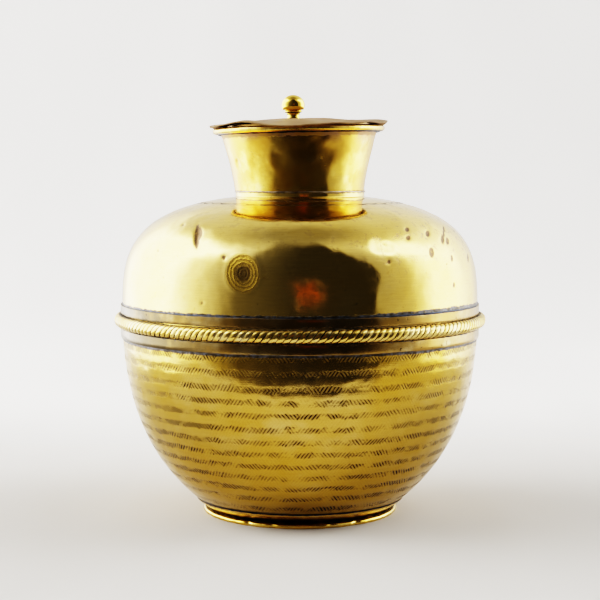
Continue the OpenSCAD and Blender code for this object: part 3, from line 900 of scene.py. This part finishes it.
def buildNeckSeams(plan):
    seam = beadRing("neckSeam", (potShape["neckRadius"] + 0.0001, neckFootHeight), plan["seamBead"],
        plan["steps"], 8)
    ripple(seam, "seamDrift", 0.008, 0.0006, "Z")
    ripple(seam, "seamLumps", 0.004, 0.0005)
    settle(seam, leadFinish("greySolder", (0.13, 0.11, 0.10), (0.42, 0.37, 0.33)), "pot", "bright_solder",
        "neck_solder")
    corner = (lipRing - lipRadius * 0.86 - 0.0006, lipHeight - lipRadius * 0.52 - 0.0010)
    fillet = beadRing("lipFillet", corner, plan["filletBead"], 300, 8)
    ripple(fillet, "filletLumps", 0.005, 0.0009)
    leanWithMouth(fillet)
    settle(fillet, leadFinish("lipSolderDark", (0.012, 0.013, 0.018), (0.045, 0.05, 0.065)), "pot",
        "dark_solder", "lip_solder")


lipPlan = {"steps": 420, "sides": 24, "drift": (0.030, 0.0008), "lumps": (0.009, 0.0003)}


def wornLip(tree, place, colour, rough, height):
    # Rubbed pale on top, orange gold below, with brown in the shallow pits
    axes = axesOf(place)
    up = timesPlus(axes[0], -leanSlope, axes[2])
    top = levels(up, lipHeight - 0.0005, lipHeight + 0.0022)
    colour = tinge(colour, top, 0.45, brassTones["pale"])
    patch = patches(place, (48.0, 4.0), 0.50, 0.66)
    colour = tinge(colour, patch, 0.45, (0.60, 0.30, 0.04))
    pits = patches(place, (150.0, 3.0, 0.6), 0.60, 0.70)
    colour = tinge(colour, pits, 0.6, (0.22, 0.12, 0.04))
    return colour, rough, timesPlus(pits, -0.8, height)


def buildLip(plan):
    piece = beadRing("rolledLip", (lipRing, lipHeight), lipRadius, plan["steps"], plan["sides"])
    ripple(piece, "lipDrift", *plan["drift"])
    ripple(piece, "lipLumps", *plan["lumps"])
    leanWithMouth(piece)
    points = pointsOf(piece)
    z = points[:, 2] - leanSlope * points[:, 0]
    setValue(piece, "grime", 0.8 * hump(z - lipHeight + lipRadius * 1.02,
        0.0009) * (reachOf(points) < lipRing + 0.001))
    finish = brassFinish("lipBrass", {"bright": (0.84, 0.57, 0.13), "deep": (0.72, 0.42, 0.05),
        "cloud": 30, "haze": 0.4, "gloss": 0.13, "rough": 0.26, "grime": 0.9, "extra": wornLip,
        "bump": 0.4, "beat": 0.3, "beatSize": 90})
    settle(piece, finish, "pot", "lip_brass", "lip_roll")


buildSeam(platePlan, plate)
buildNeck(neckPlan)
buildNeckSeams(neckPlan)
buildLip(lipPlan)
print("neck and lip ready")

# Band round the belly: a twisted rope between two flat strips

bandPlan = {"steps": 480, "stripTurn": 0.0007, "stripDrift": (0.040, 0.0006),
    "ropeDrift": (0.045, 0.0006), "twists": 180, "strands": 4, "ropeSegments": 2160, "ropeSides": 20,
    "groove": 0.145, "grooveDepth": 0.0008, "solderLeg": 0.0005}


def wornStrip(tree, place, colour, rough, height):
    along = noise(stretched(place, (1, 1, 3)), 26.0, 4.0)
    colour = tinge(colour, levels(along, 0.42, 0.60), 0.7, (0.34, 0.20, 0.05))
    # Tarnished grey brown on the left
    left = times(levels(axesOf(place)[0], -0.05, -0.12),
        patches(place, (34.0, 4.0, 0.6), 0.30, 0.52, 0.35, 0.9))
    colour = mixColour(left, colour, (0.075, 0.062, 0.038))
    pits = patches(place, (210.0, 2.0), 0.68, 0.73)
    colour = tinge(colour, pits, 0.85, (0.03, 0.018, 0.01))
    return colour, rough, timesPlus(pits, -1.2, height)


def buildStrip(name, nodeName, low, high, joinAt):
    turn = bandPlan["stripTurn"]
    outer = stripRadius
    # Inner side follows the sheet it is soldered to
    inside = [(joinAt(z) - 0.0002, z) for z in np.linspace(high, low, 8)]
    rounded = [(outer - turn, low), (outer - 0.0002, low + turn * 0.3), (outer, low + turn),
        (outer + 0.00005, (low + high) / 2), (outer, high - turn), (outer - 0.0002, high - turn * 0.3),
        (outer - turn, high)]
    piece = turnPiece(name, inside + rounded, bandPlan["steps"])
    ripple(piece, name + "Drift", *bandPlan["stripDrift"])
    ripple(piece, name + "Lumps", 0.012, 0.00025)
    points = pointsOf(piece)
    z = points[:, 2]
    edge = hump(z - low, 0.0005) + hump(z - high, 0.0005)
    nearRope = high if high < bellyHeight else low
    edge += 0.35 * hump(z - nearRope, 0.0020)
    edge += 0.25 * hump(z - (low if nearRope == high else high), 0.0014)
    setValue(piece, "grime", edge)
    finish = brassFinish(name + "Brass", {"bright": (0.36, 0.25, 0.10), "deep": (0.27, 0.17, 0.05),
        "cloud": 22, "haze": 0.4, "gloss": 0.14, "rough": 0.28, "grime": 0.95, "extra": wornStrip,
        "bump": 0.45, "beat": 0.35, "beatSize": 60, "grimeSize": 130})
    settle(piece, finish, "pot", "band_brass", nodeName)


def ropeFinish(tree, place, colour, rough, height):
    groove = levels(vertexValue(tree, "groove"), 0.15, 0.45)
    patch = patches(place, (60.0, 3.0), 0.32, 0.60, 0.55, 1.0)
    dark = times(groove, patch)
    colour = mixColour(dark, colour, (0.016, 0.013, 0.012))
    worn = times(patches(place, (90.0, 3.0), 0.5, 0.7), 0.4)
    colour = mixColour(worn, colour, brassTones["pale"])
    return colour, timesPlus(dark, 0.25, rough), height


def buildRope(plan):
    minor = (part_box("rope_ring")[1][2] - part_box("rope_ring")[0][2]) / 2
    major = ropeOuter - minor
    piece = beadRing("twistedRope", (major, bellyHeight), minor, plan["ropeSegments"], plan["ropeSides"])
    points = pointsOf(piece)
    across = reachOf(points) - major
    section = np.arctan2(points[:, 2] - bellyHeight, across) / (2 * math.pi)
    turn = aroundOf(points) / 360
    wander = 0.10 * np.sin(2 * math.pi * turn * 11) + 0.07 * np.sin(2 * math.pi * turn * 29 + 1)
    phase = turn * plan["twists"] - plan["strands"] * section + wander
    groove = np.clip(1 - (np.abs(phase - np.round(phase)) / plan["groove"]) ** 1.3, 0, 1)
    press(piece, groove, -plan["grooveDepth"])
    press(piece, np.where(across > 0, np.clip((across - minor * 0.90) / (minor * 0.12), 0, 1), 0),
        -0.0003)
    ripple(piece, "ropeDrift", *plan["ropeDrift"])
    setValue(piece, "groove", groove)
    setValue(piece, "grime", np.where(np.abs(section) > 0.19, 0.42, 0) + np.where(across < 0.001, 0.5, 0))
    finish = brassFinish("ropeBrass", {"bright": (0.84, 0.61, 0.20), "deep": (0.74, 0.48, 0.10),
        "cloud": 26, "haze": 0.5, "gloss": 0.13, "rough": 0.25, "grime": 0.9, "extra": ropeFinish,
        "bump": 0.35, "beat": 0.2, "beatSize": 120})
    settle(piece, finish, "pot", "rope_brass", "rope_ring")


def buildBandSolder(name, nodeName, z, radius, leg, heavy):
    outline = [(radius - 0.0008, z - leg * 0.4), (radius + leg * 0.75, z - leg * 0.4),
        (radius + leg * 0.65, z + leg * 0.15), (radius + leg * 0.2, z + leg * 0.75),
        (radius - 0.0008, z + leg)]
    piece = turnPiece(name, outline, bandPlan["steps"])
    ripple(piece, name + "Drift", 0.030, 0.0004, "Z")
    ripple(piece, name + "Lumps", 0.009, 0.00016)
    if heavy:
        points = pointsOf(piece)
        right = hump(angleGap(aroundOf(points), 48), 26)
        press(piece, right * (points[:, 2] > z), 0.0009)
    settle(piece, leadFinish(name + "Lead", (0.010, 0.012, 0.017), (0.075, 0.09, 0.125), 0.25, 0.5, 60),
        "pot", "dark_solder", nodeName)


buildStrip("upperStrip", "upper_strip", upperStripLow, upperStripHigh, shoulderRadius)
buildStrip("lowerStrip", "lower_strip", lowerStripLow, lowerStripHigh, bowlRadius)
buildRope(bandPlan)
buildBandSolder("upperBandSolder", "band_solder_top", upperStripHigh, bellyRadius, bandPlan["solderLeg"],
    True)
buildBandSolder("lowerBandSolder", "band_solder_bottom", lowerStripLow, bowlRadius(lowerStripLow),
    -bandPlan["solderLeg"], False)
print("band ready")

# Foot: a spun ring that pinches in under the bowl, edged with a round wire

footPlan = {"steps": 420, "wireRadius": 0.0023, "wireDrift": (0.028, 0.0008),
    "wireNicks": (0.006, 0.0007), "dents": [  # azimuth, depth
    (-31, 0.0016), (-16, 0.0012), (18, 0.0010), (34, 0.0018), (100, 0.0012), (-140, 0.0014)]}


def shadedFootBottom(tree, place, colour, rough, height):
    # Painted shade: the foot is painted near black in broken patches towards the floor, and made rougher
    # there
    up = axesOf(place)[2]
    shade = levels(up, 0.0125, 0.0080)
    broken = patches(place, (70.0, 4.0), 0.28, 0.62, 0.55, 1.0)
    dark = times(shade, broken)
    colour = mixColour(dark, colour, (0.022, 0.013, 0.008))
    return colour, timesPlus(dark, 0.22, rough), height


def buildFoot(plan):
    seat, thick = potShape["seat"], potShape["footSheet"]
    wall = potShape["footRadius"]
    flange = [(bowlRadius(z), z) for z in np.linspace(seat, footTop, 10)]
    outer = offsetPath(flange, -thick)
    outer[-1] = (outer[-1][0] - 0.0003, footTop)
    outline = ([(wall, 0.0006), (wall + thick, 0.0006), (wall + thick, 0.0046),
        (wall + thick + 0.0005, 0.0060), (wall + thick + 0.0022, 0.0074)] + outer + [(r + 0.00002,
        z) for r, z in flange[::-1]] + [(wall, baseHeight - 0.0001)])
    piece = turnPiece("footRing", outline, plan["steps"])
    ripple(piece, "footDrift", 0.030, 0.0006)
    points = pointsOf(piece)
    setValue(piece, "grime", hump(points[:, 2] - footTop, 0.0010))
    finish = brassFinish("footBrass", {"bright": (0.78, 0.52, 0.13), "deep": (0.58, 0.33, 0.05),
        "cloud": 24, "haze": 0.3, "gloss": 0.13, "rough": 0.28, "grime": 0.95, "extra": shadedFootBottom,
        "bump": 0.4, "beat": 0.3})
    settle(piece, finish, "pot", "foot_brass", "foot_ring")

    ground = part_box("foot_wire")[0][2]
    size = plan["wireRadius"]
    wire = beadRing("footWire", (wireOuter - size, size - 0.0002), size, plan["steps"], 18)
    for azimuth, depth in plan["dents"]:
        pushPoint(wire, spotAt(azimuth, wireOuter, size), spotAt(azimuth, -depth, -0.0002), 0.005,
            grab=0.001)
    ripple(wire, "wireDrift", *plan["wireDrift"])
    ripple(wire, "wireNicks", *plan["wireNicks"])
    makeActive(wire)
    editAll()
    bpy.ops.mesh.bisect(plane_co=(0, 0, ground), plane_no=(0, 0, -1), clear_outer=True, use_fill=True)
    finishEdit()
    points = pointsOf(wire)
    inside = reachOf(points) < wireOuter - size
    setValue(wire, "grime", np.where(inside, 0.55, 0) + 0.35 * hump(points[:, 2], 0.0008))
    finish = brassFinish("wireBrass", {"bright": (0.86, 0.60, 0.17), "deep": (0.74, 0.44, 0.06),
        "cloud": 30, "haze": 0.5, "gloss": 0.12, "rough": 0.25, "grime": 0.9, "bump": 0.4, "beat": 0.3,
        "beatSize": 90, "specks": 0.9})
    settle(wire, finish, "pot", "foot_brass", "foot_wire")

    top = footTop + 0.0012
    outline = [(bowlRadius(footTop) - 0.0006, footTop - 0.0002),
        (bowlRadius(footTop) + 0.0007, footTop - 0.0002), (bowlRadius(top) + 0.0002, top),
        (bowlRadius(top) - 0.0006, top)]
    fillet = turnPiece("footFillet", outline, plan["steps"])
    ripple(fillet, "footFilletLumps", 0.006, 0.0005)
    settle(fillet, leadFinish("footSolderDark", (0.010, 0.010, 0.012), (0.04, 0.035, 0.03)), "pot",
        "dark_solder", "foot_solder")


buildFoot(footPlan)
print("foot ready")

# Lid: one thin sheet, beaten shallow, with a bent and wavy edge

lidPlan = {"steps": 288, "rings": 30, "thick": 0.0011, "radius": 0.0850, "rise": 0.007, "seat": 0.014,
           "drift": (0.040, 0.0016), "blows": (0.012, 0.0004),
           "waves": [  # azimuth, lift of the edge, reach
               (-92, 0.0026, 0.030), (-63, 0.0018, 0.026), (-40, 0.0042, 0.034), (-6, -0.0010, 0.030),
               (26, 0.0012, 0.022), (52, 0.0026, 0.036), (88, 0.0036, 0.040), (128, 0.0015, 0.035),
               (178, -0.0006, 0.040), (-132, 0.0018, 0.036)]}


def tarnishedLid(tree, place, colour, rough, height):
    patch = noise(place, 22.0, 4.0, 0.6)
    colour = tinge(colour, levels(patch, 0.42, 0.62), 0.7, (0.25, 0.15, 0.085))
    grey = patches(place, (36.0, 3.0), 0.52, 0.70)
    colour = tinge(colour, grey, 0.5, (0.27, 0.225, 0.17))
    return colour, timesPlus(levels(patch, 0.42, 0.62), 0.12, rough), height


def buildLid(plan):
    seat, rise, edge = plan["seat"], plan["rise"], plan["radius"]
    under = lipHeight + lipRadius + 0.0003 + rise

    def lidHeight(r):
        return under - rise * (max(r, seat) / lipRing) ** 2

    radii = [edge * (i / plan["rings"]) for i in range(plan["rings"] + 1)]
    low = [(r, lidHeight(r)) for r in radii]
    high = [(r, z + plan["thick"]) for r, z in low[::-1]]
    outline = low + [(edge + 0.0003, lidHeight(edge) + plan["thick"] / 2)] + high
    piece = turnPiece("wavyLid", outline, plan["steps"], closed=False)
    for azimuth, lift, reach in plan["waves"]:
        spot = spotAt(azimuth, edge, lidHeight(edge) + plan["thick"] / 2)
        pushPoint(piece, spot, (0, 0, lift), reach, grab=0.002)
    ripple(piece, "lidDrift", *plan["drift"], "Z")
    ripple(piece, "lidBlows", *plan["blows"], "Z")
    leanWithMouth(piece)
    points = pointsOf(piece)
    reach = reachOf(points)
    setValue(piece, "grime", 0.45 * hump(reach - edge, 0.0012) + 0.7 * hump(np.hypot(points[:, 0] + 0.006,
        points[:, 1]) - 0.006, 0.0015))
    finish = brassFinish("lidBrass", {"bright": (0.34, 0.23, 0.11), "deep": (0.21, 0.13, 0.055),
        "pale": (0.36, 0.25, 0.11), "cloud": 18, "haze": 0.3, "metal": 0.15, "specular": 0.15,
        "gloss": 0.46, "rough": 0.66, "grime": 0.7, "extra": tarnishedLid, "bump": 0.4, "beat": 0.6,
        "beatSize": 60})
    settle(piece, finish, "lid", "lid_brass", "lid_disc")


buildLid(lidPlan)

# Knob, turned from solid and polished

knobPlan = {"ball": (0.0112, 0.010), "height": 0.0224, "stem": 0.0057, "beadRadius": 0.0014,
    "beadAt": 0.0069, "beadHeight": 0.0066, "ringHeight": 0.0038, "steps": 96}


def buildKnob(plan):
    low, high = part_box("knob")
    wide, tall = plan["ball"]
    foot = high[2] - plan["height"]
    middle = plan["height"] - tall
    stem, bead, ring = plan["stem"], plan["beadRadius"], plan["ringHeight"]
    outline = [(0, low[2] - foot), (0.0022, low[2] - foot), (0.0045, low[2] - foot + 0.001),
        (0.0045, low[2] - foot + 0.002), (0.003, low[2] - foot + 0.002), (0.003, -0.0002),
        (stem + 0.0006, -0.0002), (stem + 0.0006, 0.0006), (stem, 0.0014), (stem - 0.0001, ring - 0.0004),
        (stem + 0.0006, ring), (stem + 0.0009, ring + 0.0003), (stem + 0.0009, ring + 0.0008),
        (stem + 0.0004, ring + 0.0011), (stem + 0.0002, ring + 0.0014)]
    outline += [(plan["beadAt"] + bead * math.cos(math.radians(a)),
        plan["beadHeight"] + bead * math.sin(math.radians(a))) for a in range(-62, 63, 12)]
    outline += [(wide * math.cos(math.radians(a)), middle + tall * math.sin(math.radians(a)))
        for a in np.arange(-25, 90.1, 5.75)]
    outline[-1] = (0, middle + tall)
    piece = turnPiece("ballKnob", outline, plan["steps"], closed=False, smooth=50)
    makeActive(piece)
    piece.rotation_euler = (0, math.radians(potShape["lean"]), 0)
    piece.location = ((low[0] + high[0]) / 2, 0, foot)
    bpy.ops.object.transform_apply(location=True, rotation=True, scale=True)
    points = pointsOf(piece)
    z = points[:, 2] - foot
    setValue(piece, "grime", 0.7 * hump(z - 0.0054, 0.0006) + 0.6 * hump(z - 0.0083,
        0.0006) + 0.7 * hump(z, 0.0007))
    finish = brassFinish("knobBrass", {"bright": (0.86, 0.59, 0.13), "deep": (0.80, 0.50, 0.08),
        "cloud": 60, "haze": 0.2, "gloss": 0.04, "rough": 0.10, "grime": 0.9, "bump": 0.12, "beat": 0.05,
        "specks": 0.3})
    settle(piece, finish, "lid", "knob_brass", "knob")


buildKnob(knobPlan)
print("lid and knob ready")

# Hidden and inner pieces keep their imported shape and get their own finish

innerFinish = {"belly_solder": leadFinish("insideSolder", (0.06, 0.06, 0.065), (0.22, 0.21, 0.21)),
    "lid_collar_solder": leadFinish("collarSolder", (0.06, 0.06, 0.065), (0.26, 0.25, 0.25)),
    "lip_wire": brassFinish("wireCore", {"bright": (0.62, 0.36, 0.16), "deep": (0.45, 0.24, 0.10),
    "cloud": 40, "gloss": 0.2, "rough": 0.4}), "lid_collar": brassFinish("collarBrass",
    {"bright": (0.30, 0.19, 0.06), "deep": (0.16, 0.09, 0.03), "cloud": 20, "gloss": 0.16, "rough": 0.34,
    "specks": 0.8}), "knob_washer": brassFinish("washerBrass",
    {"bright": (0.72, 0.48, 0.14), "deep": (0.50, 0.29, 0.06), "cloud": 60, "gloss": 0.16,
    "rough": 0.34}),}
for nodeName, finish in innerFinish.items():
    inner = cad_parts[nodeName]
    inner.data.materials.clear()
    inner.data.materials.append(finish)
print("inner pieces ready")
